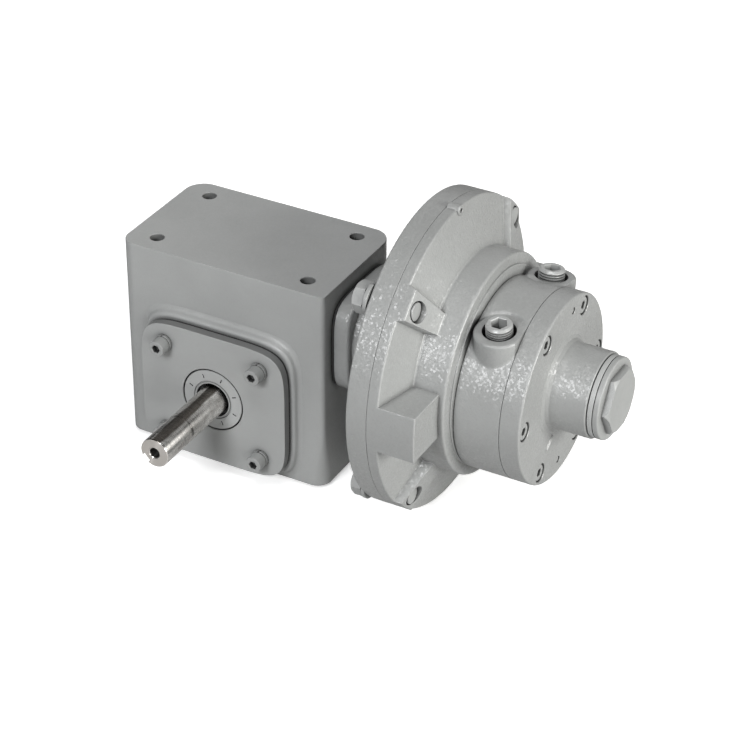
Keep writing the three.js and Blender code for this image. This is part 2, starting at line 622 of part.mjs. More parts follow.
function motorBracket() {
  const backX = FLANGE.seamX + GAP;
  const spigotX = backX - 2.6;
  const core = turned('x', [
    [backX + 1, 16.3],
    [backX + 1, 22],
    [124, 22],
    [124, BRACKET.cavityR],
    [spigotX, BRACKET.cavityR],
    [spigotX, FLANGE.registerR - GAP],
    [backX, FLANGE.registerR - GAP],
    [backX, FLANGE.outerR],
    [BRACKET.rimX, FLANGE.outerR],
    [RECESS_BELL_X, BRACKET.bellR],
    [BRACKET.bellX, BRACKET.bellR],
    [BRACKET.bellX, BRACKET.ringR],
    [BRACKET.endX, BRACKET.ringR],
    [BRACKET.endX, 9],
    [motorSeal.toX + GAP, 9],
    [motorSeal.toX + GAP, motorSeal.outerR + GAP],
    [driveBearing.toX + GAP, motorSeal.outerR + GAP],
    [driveBearing.toX + GAP, 16.3],
  ], { sides: FINE });
  const parts = [core];
  const face = slopingFace(BRACKET.rimX, FACE_BELL_X);
  const pad = slopingFace(PAD.rimX, PAD.bellX);
  for (const base of [0, 180]) {
    parts.push(face.intersect(sector(base + 51, base + 129, 105, 140)));
    for (const span of [PAD_SPAN, PAD_SPAN.map((angle) => 180 - angle)]) {
      parts.push(pad.intersect(sector(base + span[0], base + span[1], 105, 140)));
    }
  }
  const rim = rod('x', FLANGE.outerR, 105, 140, { sides: FINE });
  const { innerY, bottomZ, topZ } = SIDE_BLOCK;
  const sideBlock = (near, far) => {
    return block([backX + 1, SIDE_BLOCK.endX], [near, far], [bottomZ, topZ]).intersect(rim);
  };
  parts.push(sideBlock(-FLANGE.outerR, -innerY), sideBlock(innerY, FLANGE.outerR));
  const bossCentre = [0, TOP_BOSS.z];
  parts.push(rod('x', TOP_BOSS.radius, backX, TOP_BOSS.endX, { centre: bossCentre, sides: 16 }));
  const holes = BOLT_ANGLES.map((degrees) => {
    const centre = around(BOLT.circleR, degrees);
    return rod('x', BOLT.shankR + GAP, backX - 1, 130, { centre, sides: 16 });
  });
  const markHole = rod('x', TOP_BOSS.holeR, TOP_BOSS.endX - 2.7, TOP_BOSS.endX + 1, {
    centre: bossCentre,
    sides: SMALL,
  });
  return cut(join(...parts), ...holes, markHole);
}

addPart(inputAxis, 'motor_bracket', motorBracket(), 'greyPaint');
const driveRace = ring('x', driveBearing.innerR, driveBearing.outerR, driveBearing.fromX, driveBearing.toX);
addPart(inputAxis, 'drive_bearing', driveRace, 'steel');
addPart(inputAxis, 'motor_seal', shaftSeal('x', motorSeal.fromX, motorSeal.toX, motorSeal), 'rubber');

// ---- Motor body, ports and their plugs -------------------------------------------------------

const bodyCentre = [0, -BODY.dropZ];
const endScrewAngles = [0, 60, 120, 180, 240, 300];

// Each port leans outwards from the motor's middle.
const ports = [-1, 1].map((side) => {
  return { centre: [PORT.x, side * PORT.halfY], lean: -side * PORT.leanDeg, pivot: PORT.topZ };
});

function motorBody() {
  const { startX, endX, outerR, chamberR } = BODY;
  const slab = block([startX, endX], [-70, 70], [-70, 70]);
  const bosses = ports.map((port) => rod('z', PORT.bossR, 8, PORT.topZ, { ...port, sides: 32 }));
  const ringBody = rod('x', outerR, startX, endX, { centre: bodyCentre, sides: FINE });
  let shape = join(ringBody, ...bosses).intersect(slab);
  shape = cut(shape, rod('x', chamberR, startX - 1, endX + 1, { centre: bodyCentre, sides: FINE }));
  for (const port of ports) {
    shape = cut(
      shape,
      rod('z', PORT.threadR, PORT_PLUG.bottomZ - 2, PORT.topZ + 12, port),
      rod('z', PORT.passageR, 12, PORT.topZ, port),
      rod('z', PORT.bossR, PORT.topZ, PORT.topZ + 12, { ...port, sides: 32 }),
    );
  }
  for (const degrees of endScrewAngles) {
    const centre = around(END_SCREW.circleR, degrees, BODY.dropZ);
    const hole = rod('x', END_SCREW.shankR + GAP, END_SCREW.endX - GAP, endX + 1, { centre, sides: SMALL });
    shape = cut(shape, hole);
  }
  for (const degrees of DOWEL.angles) {
    const centre = around(DOWEL.circleR, degrees, BODY.dropZ);
    const hole = rod('x', DOWEL.radius + GAP, DOWEL.startX - GAP, endX + 1, { centre, sides: SMALL });
    shape = cut(shape, hole);
  }
  return shape;
}

addPart(inputAxis, 'motor_body', motorBody(), 'greyPaint');

ports.forEach((port, i) => {
  const { radius, topZ, bottomZ, socketR, socketDepth } = PORT_PLUG;
  const plug = rod('z', radius, bottomZ, topZ, port);
  const socket = rod('z', socketR, topZ - socketDepth, topZ + 1, { ...port, sides: 6 });
  addPart(inputAxis, `port_plug_${i + 1}`, cut(plug, socket), 'zincSteel');
});

// ---- Rotor, vanes and motor shaft ------------------------------------------------------------

function motorShaft() {
  const tail = 187;
  const profile = [[79, 0], [79, SHAFT_R - 0.6], [79.6, SHAFT_R], [tail, SHAFT_R], [tail, 0]];
  const { halfWidth, fromX, toX } = keySize;
  const slot = block([fromX, toX], [-halfWidth, halfWidth], [SHAFT_R - KEY.depth, 12]);
  return cut(turned('x', profile), slot);
}

function rotorCore() {
  const { startX, endX, radius, slotFloorR, slotHalf } = ROTOR;
  const core = ring('x', SHAFT_R + GAP, radius, startX, endX, { sides: FINE });
  const slots = [
    block([startX - 1, endX + 1], [slotFloorR, radius + 2], [-slotHalf, slotHalf]),
    block([startX - 1, endX + 1], [-radius - 2, -slotFloorR], [-slotHalf, slotHalf]),
    block([startX - 1, endX + 1], [-slotHalf, slotHalf], [slotFloorR, radius + 2]),
    block([startX - 1, endX + 1], [-slotHalf, slotHalf], [-radius - 2, -slotFloorR]),
  ];
  return cut(core, ...slots);
}

addPart(inputAxis, 'motor_shaft', motorShaft(), 'steel');
addPart(inputAxis, 'rotor', rotorCore(), 'plainSteel');

[0, 90, 180, 270].forEach((degrees, i) => {
  const { halfThick, innerR, outerR } = VANE;
  const span = [ROTOR.startX, ROTOR.endX];
  const vane = block(span, [innerR, outerR], [-halfThick, halfThick]);
  const turnedVane = new THREE.Group();
  turnedVane.rotation.x = THREE.MathUtils.degToRad(degrees);
  inputAxis.add(turnedVane);
  addPart(turnedVane, `vane_${i + 1}`, vane, 'composite');
});

const shaftKey = block(
  [keySize.fromX + GAP, keySize.toX - GAP],
  [-keySize.halfWidth + GAP, keySize.halfWidth - GAP],
  [SHAFT_R - KEY.depth + GAP, SHAFT_R + KEY.depth],
);
addPart(inputAxis, 'shaft_key', shaftKey, 'plainSteel');

// ---- End plate, its screws and dowels, and the hexagonal cap -----------------------------------

const deadBearing = { innerR: SHAFT_R + GAP, outerR: 15.7, fromX: 178, toX: 187 };

function endPlate() {
  const { startX, faceX, hubR, hubX, filletR, filletX } = END_PLATE;
  const disc = rod('x', BODY.outerR, startX, faceX, { centre: bodyCentre, sides: FINE });
  const hub = turned('x', [
    [startX + 2, 0],
    [startX + 2, filletR],
    [faceX, filletR],
    [filletX, hubR],
    [hubX, hubR],
    [hubX, 0],
  ], { sides: FINE });
  const shaftBore = rod('x', END_BORE.shaftR, startX - 1, faceX + 6);
  const bearingBore = rod('x', END_BORE.bearingR, deadBearing.fromX - GAP, hubX + 1);
  let shape = cut(join(disc, hub), shaftBore, bearingBore);
  for (const degrees of endScrewAngles) {
    const centre = around(END_SCREW.circleR, degrees, BODY.dropZ);
    shape = cut(
      shape,
      rod('x', END_SCREW.shankR + GAP, startX - 1, faceX + 1, { centre, sides: SMALL }),
      rod('x', END_SCREW.recessR, faceX - END_SCREW.recessDepth, faceX + 1, { centre, sides: 16 }),
    );
  }
  const dowelHoles = DOWEL.angles.map((degrees) => {
    const centre = around(DOWEL.circleR, degrees, BODY.dropZ);
    return rod('x', DOWEL.radius + GAP, startX - 1, faceX + 1, { centre, sides: SMALL });
  });
  return cut(shape, ...dowelHoles);
}

function endCap() {
  const { flangeX: backX, hexX, endX, flangeR, hexR } = CAP;
  const body = join(
    rod('x', 15.7, deadBearing.toX + 1, backX + 1),
    rod('x', flangeR, backX, hexX, { sides: FINE }),
    rod('x', hexR, hexX - 1, endX, { sides: 6, spin: 30 }),
  );
  return body;
}

addPart(inputAxis, 'end_plate', endPlate(), 'greyPaint');
const deadRace = ring('x', deadBearing.innerR, deadBearing.outerR, deadBearing.fromX, deadBearing.toX);
addPart(inputAxis, 'dead_end_bearing', deadRace, 'steel');
const capGasket = ring('x', END_BORE.bearingR, CAP.flangeR, CAP.gasketX, CAP.flangeX - GAP, { sides: FINE });
addPart(inputAxis, 'cap_gasket', capGasket, 'gasket');
addPart(inputAxis, 'end_cap', endCap(), 'greyPaint');

endScrewAngles.forEach((degrees, i) => {
  const centre = around(END_SCREW.circleR, degrees, BODY.dropZ);
  const seatX = END_PLATE.faceX - END_SCREW.recessDepth + GAP;
  const topX = END_PLATE.faceX - 0.8;
  const head = rod('x', END_SCREW.headR, seatX, topX, { centre, sides: 16 });
  const shank = rod('x', END_SCREW.shankR, END_SCREW.endX, seatX + 1, { centre, sides: SMALL });
  const socket = rod('x', END_SCREW.socketR, topX - END_SCREW.socketDepth, topX + 1, { centre, sides: 6 });
  addPart(inputAxis, `end_plate_screw_${i + 1}`, cut(join(head, shank), socket), 'zincSteel');
});

DOWEL.angles.forEach((degrees, i) => {
  const centre = around(DOWEL.circleR, degrees, BODY.dropZ);
  const pin = rod('x', DOWEL.radius, DOWEL.startX, END_PLATE.faceX - 0.5, { centre, sides: SMALL });
  addPart(inputAxis, `dowel_pin_${i + 1}`, pin, 'steel');
});

export default model;
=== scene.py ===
"""Looks of the air-driven worm gearmotor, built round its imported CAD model."""

import math

import bmesh
import bpy
from mathutils import Matrix, Quaternion, Vector


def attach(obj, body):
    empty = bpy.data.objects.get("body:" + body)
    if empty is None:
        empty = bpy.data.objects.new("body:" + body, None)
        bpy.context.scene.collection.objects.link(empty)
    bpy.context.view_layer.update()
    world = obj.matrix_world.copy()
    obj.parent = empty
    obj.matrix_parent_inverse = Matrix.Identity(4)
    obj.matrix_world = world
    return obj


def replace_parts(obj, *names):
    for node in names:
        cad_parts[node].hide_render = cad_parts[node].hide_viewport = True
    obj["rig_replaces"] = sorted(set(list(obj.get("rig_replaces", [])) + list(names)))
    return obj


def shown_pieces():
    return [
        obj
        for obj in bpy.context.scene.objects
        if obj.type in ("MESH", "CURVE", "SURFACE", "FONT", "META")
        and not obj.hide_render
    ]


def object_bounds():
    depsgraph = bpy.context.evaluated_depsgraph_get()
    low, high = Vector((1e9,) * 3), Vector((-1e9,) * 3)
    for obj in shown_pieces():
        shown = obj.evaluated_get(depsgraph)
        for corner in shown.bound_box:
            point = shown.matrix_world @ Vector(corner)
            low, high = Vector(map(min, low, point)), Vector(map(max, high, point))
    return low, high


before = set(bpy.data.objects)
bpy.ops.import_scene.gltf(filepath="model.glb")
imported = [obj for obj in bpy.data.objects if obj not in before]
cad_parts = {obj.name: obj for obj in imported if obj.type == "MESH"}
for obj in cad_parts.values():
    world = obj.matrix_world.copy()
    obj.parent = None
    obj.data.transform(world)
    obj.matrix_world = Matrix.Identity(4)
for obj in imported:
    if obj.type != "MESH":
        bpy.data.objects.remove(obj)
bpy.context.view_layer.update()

# ---- Dimensions, in millimetres ------------------------------------------------------------

MM = 0.001
INPUT_Z, OUTPUT_Z = 79.7, 41.6
INPUT = (0.0, INPUT_Z)  # centre of pieces turned about the motor axis
OUTPUT = (0.0, OUTPUT_Z)  # centre of pieces turned about the output axis
BODY_CENTRE = (0.0, 76.2)  # the motor body sits lower than its shaft
HOUSING_X, HOUSING_Y, HOUSING_Z = 59.3, 36.9, 113.9
CORNERS = ((-1, 1), (1, 1), (1, -1), (-1, -1))
BOLT_ANGLES = (45, 135, 225, 315)
BOLT_CIRCLE = 74.6
BRACKET_R, BELL_R = 81.5, 57.2
BLOCK_LOW, BLOCK_HIGH, BLOCK_END = -12.0, 13.1, 133.0  # side blocks, heights from the motor axis
BODY_R = 49.05
TAPPED_X, TAPPED_Y, TAPPED_R = 44.0, 25.2, 3.85  # holes in the housing's top and base
PAD_DEPTH = 4.0  # how far the cover pad stands out of the housing
COVER_HALF_X, COVER_HALF_Z, COVER_POWER = 42.4, 37.8, 5.6
COVER_BACK, COVER_FACE = -42.3, -46.9
SHAFT_R, SHAFT_TIP, SCRIBE_Y = 7.94, -101.5, -78.1
BOLT_HOLE_R = 5.45
BOLT_HEAD, BOLT_SEAT, BOLT_END = 87.4, 93.4, 118.5
BODY_START, BODY_END = 137.65, 161.6
PLATE_FACE, HUB_END = 172.4, 194.1
END_SCREW_CIRCLE, DOWEL_CIRCLE = 42.5, 41.5
DOWEL_ANGLES = (101, -90)
MARK_Y, MARK_Z = -12.7, 52.2  # the raised line on the end plate
CAP_R, CAP_FLANGE, CAP_END = 21.0, 200.2, 204
PORT_X, PORT_Y, PORT_TOP, PORT_LEAN = 150.6, 29.3, 119.3, 8.0  # each port leans outwards
END_SCREW_ANGLES = (0, 60, 120, 180, 240, 300)


# ---- Outlines ------------------------------------------------------------------------------


def around(radius, degrees, centre=INPUT):
    """The (y, z) point at an angle counted from -Y towards +Z."""
    angle = math.radians(degrees)
    return centre[0] - radius * math.cos(angle), centre[1] + radius * math.sin(angle)


def circle(radius, centre=(0.0, 0.0), count=96):
    turns = [2 * math.pi * i / count for i in range(count)]
    return [(centre[0] + radius * math.cos(t), centre[1] + radius * math.sin(t)) for t in turns]


def smooth_step(value):
    """Eases from 0 to 1."""
    value = min(max(value, 0.0), 1.0)
    return value * value * (3 - 2 * value)


def squircle(half_u, half_v, power, centre, inset=0.0, floor=-1e9, count=160):
    """A square outline with soft corners and bulging sides, cut off below the floor."""
    points = []
    for i in range(count):
        t = 2 * math.pi * (i + 0.5) / count
        c, s = math.cos(t), math.sin(t)
        u = centre[0] + (half_u - inset) * math.copysign(abs(c) ** (2 / power), c)
        v = centre[1] + (half_v - inset) * math.copysign(abs(s) ** (2 / power), s)
        points.append((u, max(v, floor)))
    return points


def fillet(points, closed=False, steps=5):
    """Rounds the corners of (u, v, radius) points into a list of (u, v)."""
    count = len(points)
    out = []
    for i, (u, v, radius) in enumerate(points):
        if radius <= 0 or (not closed and i in (0, count - 1)):
            out.append((u, v))
            continue
        here = Vector((u, v))
        back = Vector(points[i - 1][:2]) - here
        ahead = Vector(points[(i + 1) % count][:2]) - here
        half = back.angle(ahead) / 2
        reach = min(radius / math.tan(half), 0.48 * back.length, 0.48 * ahead.length)
        start, end = here + back.normalized() * reach, here + ahead.normalized() * reach
        for step in range(steps + 1):
            t = step / steps
            point = start * (1 - t) ** 2 + here * (2 * t * (1 - t)) + end * t**2
            out.append((point.x, point.y))
    return out


# ---- Mesh building -------------------------------------------------------------------------


def place(axis, along, u, v):
    """The (x, y, z) of a point (u, v) in the section at a distance along an axis."""
    return {"x": (along, u, v), "y": (u, along, v), "z": (u, v, along)}[axis]


def make(name, vertices, faces):
    """A mesh object from points in millimetres, with its faces turned outwards."""
    mesh = bpy.data.meshes.new(name)
    mesh.from_pydata([Vector(v) * MM for v in vertices], [], faces)
    work = bmesh.new()
    work.from_mesh(mesh)
    bmesh.ops.remove_doubles(work, verts=work.verts, dist=1e-7)
    bmesh.ops.recalc_face_normals(work, faces=work.faces)
    work.to_mesh(mesh)
    work.free()
    obj = bpy.data.objects.new(name, mesh)
    bpy.context.scene.collection.objects.link(obj)
    return obj


def lathe(name, axis, profile, centre=(0.0, 0.0), sides=96, steps=5):
    """Turns (along, radius, fillet) points about an axis. Off the axis the profile is a closed loop."""
    closed = not (profile[0][1] == 0 and profile[-1][1] == 0)
    outline = fillet(profile, closed, steps)
    vertices, rows, faces = [], [], []
    for along, radius in outline:
        count = 1 if radius == 0 else sides
        rows.append((len(vertices), count))
        ring = circle(radius, centre, sides) if count > 1 else [centre]
        vertices += [place(axis, along, u, v) for u, v in ring]
    pairs = list(zip(rows, rows[1:])) + ([(rows[-1], rows[0])] if closed else [])
    for (a, na), (b, nb) in pairs:
        for i in range(sides):
            j = (i + 1) % sides
            if na > 1 and nb > 1:
                faces.append((a + i, a + j, b + j, b + i))
            elif nb > 1:
                faces.append((a, b + j, b + i))
            elif na > 1:
                faces.append((a + i, a + j, b))
    return make(name, vertices, faces)


def loft(name, axis, rings):
    """Joins (along, outline) rings of equal length, and caps both ends."""
    vertices = [place(axis, along, u, v) for along, outline in rings for u, v in outline]
    count = len(rings[0][1])
    faces = [tuple(range(count)), tuple(range(len(vertices) - count, len(vertices)))]
    for row in range(len(rings) - 1):
        for i in range(count):
            a, b = row * count + i, row * count + (i + 1) % count
            faces.append((a, b, b + count, a + count))
    return make(name, vertices, faces)


def bar(name, axis, radius, start, end, centre=(0.0, 0.0), sides=48):
    return loft(name, axis, [(a, circle(radius, centre, sides)) for a in (start, end)])


def bake(obj):
    """Applies the object's modifiers to its mesh."""
    bpy.context.view_layer.update()
    graph = bpy.context.evaluated_depsgraph_get()
    mesh = bpy.data.meshes.new_from_object(obj.evaluated_get(graph))
    obj.modifiers.clear()
    obj.data = mesh
    return obj


def combine(obj, operation, *others):
    for other in others:
        step = obj.modifiers.new("combine", "BOOLEAN")
        step.operation = operation
        step.solver = "EXACT"
        step.object = other
    bake(obj)
    for other in others:
        bpy.data.objects.remove(other)
    return obj


def merge(name, *objs):
    """One object from several that don't touch."""
    work = bmesh.new()
    for obj in objs:
        work.from_mesh(obj.data)
        bpy.data.objects.remove(obj)
    mesh = bpy.data.meshes.new(name)
    work.to_mesh(mesh)
    work.free()
    made = bpy.data.objects.new(name, mesh)
    bpy.context.scene.collection.objects.link(made)
    return made


def drill(axis, radius, mouth, bottom, centre, flare=0.4, sides=40, point=True):
    """A cutter for a hole with a broken edge at its mouth."""
    out = 1 if mouth > bottom else -1
    tip = bottom - out * radius * 0.5 if point else bottom
    profile = [
        (mouth + 3 * out, 0, 0),
        (mouth + 3 * out, radius + flare, 0),
        (mouth, radius + flare, 0),
        (mouth - out * flare, radius, 0),
        (bottom, radius, 0),
        (tip, 0, 0),
    ]
    return lathe("cutter", axis, profile, centre, sides)


def lean(obj, side):
    """Tips a piece of a port outwards round the middle of its boss's face."""
    pivot = Vector((PORT_X, side * PORT_Y, PORT_TOP)) * MM
    turn = Matrix.Rotation(math.radians(-side * PORT_LEAN), 4, "X")
    obj.data.transform(Matrix.Translation(pivot) @ turn @ Matrix.Translation(-pivot))
    return obj


def melt(obj, voxel, rounds):
    """Turns a union of solids into one cast skin with soft junctions."""
    remesh = obj.modifiers.new("melt", "REMESH")
    remesh.mode = "VOXEL"
    remesh.voxel_size = voxel * MM
    smooth = obj.modifiers.new("smooth", "SMOOTH")
    smooth.factor = 0.5
    smooth.iterations = rounds
    return bake(obj)


def complete(obj, body, nodes, material, crease=34):
    """Shades a piece, gives it its material and ties it to the CAD model."""
    work = bmesh.new()
    work.from_mesh(obj.data)
    bmesh.ops.dissolve_degenerate(work, dist=1e-7, edges=work.edges)
    limit = math.radians(crease)
    for edge in work.edges:
        edge.smooth = len(edge.link_faces) == 2 and edge.calc_face_angle(0) < limit
    for face in work.faces:
        face.smooth = True
        face.material_index = 0
    work.to_mesh(obj.data)
    work.free()
    obj.data.materials.clear()
    obj.data.materials.append(material)
    even = obj.modifiers.new("even_shading", "WEIGHTED_NORMAL")
    even.keep_sharp = True
    even.weight = 80
    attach(obj, body)
    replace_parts(obj, *nodes)
    return obj


# ---- Materials -----------------------------------------------------------------------------


class Nodes:
    """A material's node tree with short ways to add to it."""

    def __init__(self, name):
        self.material = bpy.data.materials.new(name)
        self.material.use_nodes = True
        self.tree = self.material.node_tree
        self.shader = self.tree.nodes["Principled BSDF"]
        self.place = self.add("ShaderNodeTexCoord").outputs["Object"]

    def add(self, kind, **sockets):
        node = self.tree.nodes.new(kind)
        for key, value in sockets.items():
            self.set(node.inputs[key.replace("_", " ")], value)
        return node

    def set(self, socket, value):
        if isinstance(value, bpy.types.NodeSocket):
            self.tree.links.new(value, socket)
        else:
            socket.default_value = value

    def position(self):
        """The x, y and z sockets of the point, in metres."""
        return self.add("ShaderNodeSeparateXYZ", Vector=self.place).outputs

    def facing_y(self):
        """How far the surface faces +Y, from -1 to 1."""
        normal = self.add("ShaderNodeTexCoord").outputs["Normal"]
        return self.add("ShaderNodeSeparateXYZ", Vector=normal).outputs["Y"]

    def length(self, first, second):
        squares = [self.math("POWER", part, 2.0) for part in (first, second)]
        return self.math("SQRT", self.math("ADD", *squares))

    def noise(self, scale, detail=3.0, rough=0.55, stretch=(1, 1, 1)):
        mapping = self.add("ShaderNodeMapping", Vector=self.place, Scale=stretch)
        node = self.add("ShaderNodeTexNoise", Vector=mapping.outputs[0], Scale=scale)
        node.inputs["Detail"].default_value = detail
        node.inputs["Roughness"].default_value = rough
        return node.outputs["Fac"]

    def remap(self, value, low, high, to_low=0.0, to_high=1.0):
        node = self.add("ShaderNodeMapRange", Value=value)
        for socket, number in zip(("From Min", "From Max", "To Min", "To Max"), (low, high, to_low, to_high)):
            node.inputs[socket].default_value = number
        return node.outputs[0]

    def math(self, operation, first, second=0.0):
        node = self.add("ShaderNodeMath")
        node.operation = operation
        self.set(node.inputs[0], first)
        self.set(node.inputs[1], second)
        return node.outputs[0]

    def mix(self, factor, first, second):
        node = self.add("ShaderNodeMix")
        node.data_type = "RGBA"
        self.set(node.inputs["Factor"], factor)
        self.set(node.inputs["A"], first)
        self.set(node.inputs["B"], second)
        return node.outputs["Result"]

    def crevice_shade(self, distance, closed, open_air):
        """A mask for painted shade: 0 deep in a gap or a hole, 1 on open faces."""
        node = self.add("ShaderNodeAmbientOcclusion")
        node.samples = 6
        node.inputs["Distance"].default_value = distance
        return self.remap(node.outputs["AO"], closed, open_air)

    def bump(self, height, distance, strength=1.0, normal=None):
        node = self.add("ShaderNodeBump", Height=height, Strength=strength)
        node.inputs["Distance"].default_value = distance
        if normal is not None:
            self.set(node.inputs["Normal"], normal)
        return node.outputs[0]

    def flakes(self, scale, tilt):
        """A normal that tips a random way in every small cell, as the flakes in a silvery enamel do."""
        cells = self.add("ShaderNodeTexVoronoi", Vector=self.place, Scale=scale).outputs["Color"]
        centred = self.vector_math("SUBTRACT", cells, (0.5, 0.5, 0.5))
        tipped = self.vector_math("MULTIPLY", centred, (tilt, tilt, tilt))
        normal = self.add("ShaderNodeNewGeometry").outputs["Normal"]
        return self.vector_math("NORMALIZE", self.vector_math("ADD", normal, tipped))

    def vector_math(self, operation, first, second=(0.0, 0.0, 0.0)):
        node = self.add("ShaderNodeVectorMath")
        node.operation = operation
        self.set(node.inputs[0], first)
        self.set(node.inputs[1], second)
        return node.outputs["Vector"]

    def finish(self, color, rough, metal=0.0, normal=None, specular=0.5, coat=0.0, coat_rough=0.2):
        self.set(self.shader.inputs["Base Color"], color)
        self.set(self.shader.inputs["Roughness"], rough)
        self.set(self.shader.inputs["Metallic"], metal)
        self.shader.inputs["Specular IOR Level"].default_value = specular
        self.shader.inputs["Coat Weight"].default_value = coat
        self.shader.inputs["Coat Roughness"].default_value = coat_rough
        if normal is not None:
            self.set(self.shader.inputs["Normal"], normal)
        return self.material


def paint_tone(value):
    """The enamel's grey, a trace greener than neutral."""
    return (value * 0.985, value, value * 0.992, 1.0)


def grey(value, warm=0.0):
    """A grey, turned towards orange by warm."""
    return (value * (1 + warm), value, value * (1 - warm), 1.0)


def hole_shade(n):
    """A mask for painted shade: 1 inside the four tapped holes of the housing's top face, 0 elsewhere."""
    place = n.position()
    across = n.math("SUBTRACT", n.math("ABSOLUTE", place["X"]), TAPPED_X * MM)
    along = n.math("SUBTRACT", n.math("ABSOLUTE", place["Y"]), TAPPED_Y * MM)
    inside = n.remap(n.length(across, along), (TAPPED_R + 0.75) * MM, (TAPPED_R + 0.45) * MM)
    below = n.remap(place["Z"], (HOUSING_Z - 0.2) * MM, (HOUSING_Z - 0.8) * MM)
    return n.math("MULTIPLY", inside, below)


def enamel(name, base, grain, rough=0.42, metal=0.0, spark=0.6, painted_hole_shade=False, painted_side_shade=False):
    """Grey enamel over a casting, with painted shade in its gaps and holes. The clear skin on top is pebbled,
    so it glitters near a highlight.
    """
    n = Nodes(name)
    cloud = n.noise(28, 4)
    patch = n.noise(110, 3)
    pebble = n.noise(950, 2, 0.6)
    swell = n.noise(420, 3, 0.6)
    shade = n.mix(n.remap(cloud, 0.35, 0.65), paint_tone(base * 0.95), paint_tone(base * 1.03))
    shade = n.mix(n.remap(patch, 0.5, 0.75, 0, 0.25), shade, paint_tone(base * 0.90))
    shade = n.mix(n.remap(pebble, 0.34, 0.46, 0.22 * grain, 0), shade, paint_tone(base * 0.72))
    # Painted shade: the enamel turns almost black deep in gaps, holes and sockets.
    shade = n.mix(n.crevice_shade(0.005, 0.22, 0.85), paint_tone(base * 0.08), shade)
    # Painted shade: the walls of the tapped holes turn darker.
    if painted_hole_shade:
        shade = n.mix(hole_shade(n), shade, paint_tone(base * 0.45))
    # Painted shade: faces that don't look along Y, the cover's edges, turn darker.
    if painted_side_shade:
        side = n.remap(n.math("ABSOLUTE", n.facing_y()), 0.75, 0.35)
        shade = n.mix(side, shade, paint_tone(base * 0.45))
    soft = n.bump(swell, 0.00014 * grain, 0.8)
    soft = n.bump(pebble, 0.00012 * grain, 1.0, soft)
    n.set(n.shader.inputs["Coat Normal"], n.flakes(1050, 0.38 * grain))
    gloss = n.remap(patch, 0.3, 0.7, rough - 0.05, rough + 0.07)
    return n.finish(shade, gloss, metal, soft, specular=0.4, coat=spark, coat_rough=0.30)


def polished_steel(name):
    """Ground shaft steel, turned in fine rings, with a painted dark reflection along one side and a duller
    end.
    """
    n = Nodes(name)
    rings = n.noise(900, 3, 0.6, stretch=(0.15, 6.0, 0.15))
    blotch = n.noise(260, 4, 0.6)
    streak = n.noise(160, 3, 0.6, stretch=(1.0, 0.12, 1.0))
    place = n.position()
    height = n.math("SUBTRACT", place["Z"], OUTPUT_Z * MM)
    turn = n.math("ARCTAN2", height, place["X"])
    wander = n.math("ADD", turn, n.remap(streak, 0.3, 0.7, -0.10, 0.10))
    painted_dark_reflection = n.math("MULTIPLY", n.remap(wander, 1.08, 1.18), n.remap(wander, 1.84, 1.70))
    shade = n.mix(n.remap(blotch, 0.48, 0.70, 0, 0.55), grey(0.95, 0.03), grey(0.42, 0.06))
    shade = n.mix(n.remap(streak, 0.52, 0.62, 0, 0.45), shade, grey(0.30, 0.08))
    # Painted reflection: a brown-black band along the upper side of the shaft, with ragged edges.
    shade = n.mix(n.remap(painted_dark_reflection, 0, 1, 0, 0.93), shade, grey(0.055, 0.18))
    past_scribe = n.math("SUBTRACT", place["Y"], (SCRIBE_Y - 0.1) * MM)
    scribe = n.remap(n.math("ABSOLUTE", past_scribe), 0.0012, 0.0004, 0, 0.8)
    scribe = n.math("MULTIPLY", scribe, n.remap(blotch, 0.42, 0.54))
    shade = n.mix(scribe, shade, grey(0.05, 0.05))
    faced = n.remap(n.facing_y(), -0.95, -0.8, 1.0, 0.0)
    shade = n.mix(faced, shade, grey(0.40, 0.06))
    # Painted shade: the steel turns near black in the keyway and other gaps.
    shade = n.mix(n.crevice_shade(0.005, 0.25, 0.8), grey(0.012), shade)
    # Painted shade inside the centre hole: near black, dull and not metallic, so its cone shows no glint.
    bore_shade = n.remap(n.length(place["X"], height), 0.0031, 0.0028)
    shade = n.mix(bore_shade, shade, grey(0.015, 0.1))
    dull_parts = n.math("MAXIMUM", faced, bore_shade)
    rough = n.math("MAXIMUM", n.remap(rings, 0.3, 0.7, 0.22, 0.30), n.remap(dull_parts, 0, 1, 0.0, 0.5))
    metal = n.math("MULTIPLY", n.remap(faced, 0, 1, 1.0, 0.2), n.remap(bore_shade, 0, 1, 1.0, 0.0))
    around_shaft = n.add("ShaderNodeTangent")
    around_shaft.direction_type = "RADIAL"
    around_shaft.axis = "Y"
    n.set(n.shader.inputs["Tangent"], around_shaft.outputs[0])
    n.shader.inputs["Anisotropic"].default_value = 0.9
    n.shader.inputs["Anisotropic Rotation"].default_value = 0.25
    return n.finish(shade, rough, metal, n.bump(rings, 0.00001, 0.3))


def plated_steel(name, base, rough):
    n = Nodes(name)
    spots = n.noise(500, 3)
    shade = n.mix(n.remap(spots, 0.4, 0.7), grey(base), grey(base * 0.72))
    gloss = n.remap(spots, 0.3, 0.7, rough - 0.08, rough + 0.12)
    return n.finish(shade, gloss, 0.8, n.bump(spots, 0.00008, 0.5))


def dull(name, first, second, scale, rough, depth, metal=0.0):
    """A material that drifts between two colours over a grain of the given scale."""
    n = Nodes(name)
    spots = n.noise(scale, 3)
    shade = n.mix(n.remap(spots, 0.35, 0.65), first, second)
    gloss = n.remap(spots, 0.3, 0.7, rough - 0.06, rough + 0.06)
    return n.finish(shade, gloss, metal, n.bump(spots, depth, 0.6))


